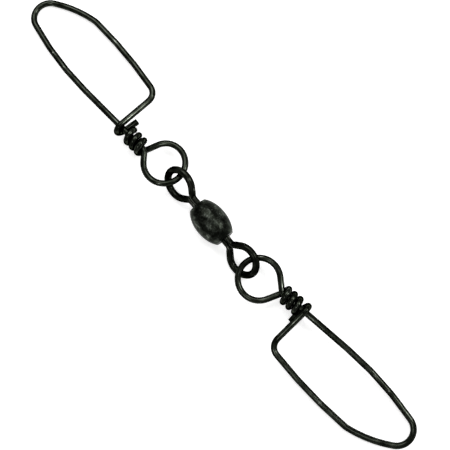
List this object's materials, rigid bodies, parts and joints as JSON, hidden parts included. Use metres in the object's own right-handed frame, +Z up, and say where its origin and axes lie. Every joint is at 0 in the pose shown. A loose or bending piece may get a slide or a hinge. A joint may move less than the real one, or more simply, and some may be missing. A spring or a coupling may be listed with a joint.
{
  "type": "snap swivel",
  "caption": "Fishing snap swivel: an egg-shaped barrel whose eyes spin in its ends, each eye linked to a long coiled-wire snap with a hook catch.",
  "frame": {"origin": "on the table the swivel lies on, under the middle of its whole length and width", "axes": "+X along the barrel axis towards the lower snap, +Y to the side towards which the upper snap's loop lies, +Z up"},
  "size_m": [0.1004, 0.0142, 0.0058],
  "materials": {
    "barrel_shell": "matte black plated",
    "eye_wire": "black plated, soft sheen",
    "snap_wire": "black plated, soft sheen"
  },
  "bodies": {
    "barrel": {"barrel": "barrel_shell"},
    "upper_eye": {"upper_eye": "eye_wire"},
    "lower_eye": {"lower_eye": "eye_wire"},
    "upper_snap": {"upper_snap": "snap_wire"},
    "lower_snap": {"lower_snap": "snap_wire"}
  },
  "joints": [
    {"name": "upper_eye_spin", "type": "hinge", "parent": "barrel", "child": "upper_eye", "pos_m": [-0.00319, -0.00078, 0.00287], "axis": [1, 0, 0], "continuous": true},
    {"name": "lower_eye_spin", "type": "hinge", "parent": "barrel", "child": "lower_eye", "pos_m": [0.00421, -0.00078, 0.00287], "axis": [1, 0, 0], "continuous": true},
    {"name": "upper_snap_swing", "type": "hinge", "parent": "upper_eye", "child": "upper_snap", "pos_m": [-0.00902, -0.00048, 0.00287], "axis": [0, -0.7431, 0.6691], "range_deg": [-75, 75]},
    {"name": "lower_snap_swing", "type": "hinge", "parent": "lower_eye", "child": "lower_snap", "pos_m": [0.0096, -0.00072, 0.00287], "axis": [0, -0.682, 0.7314], "range_deg": [-75, 75]}
  ]
}
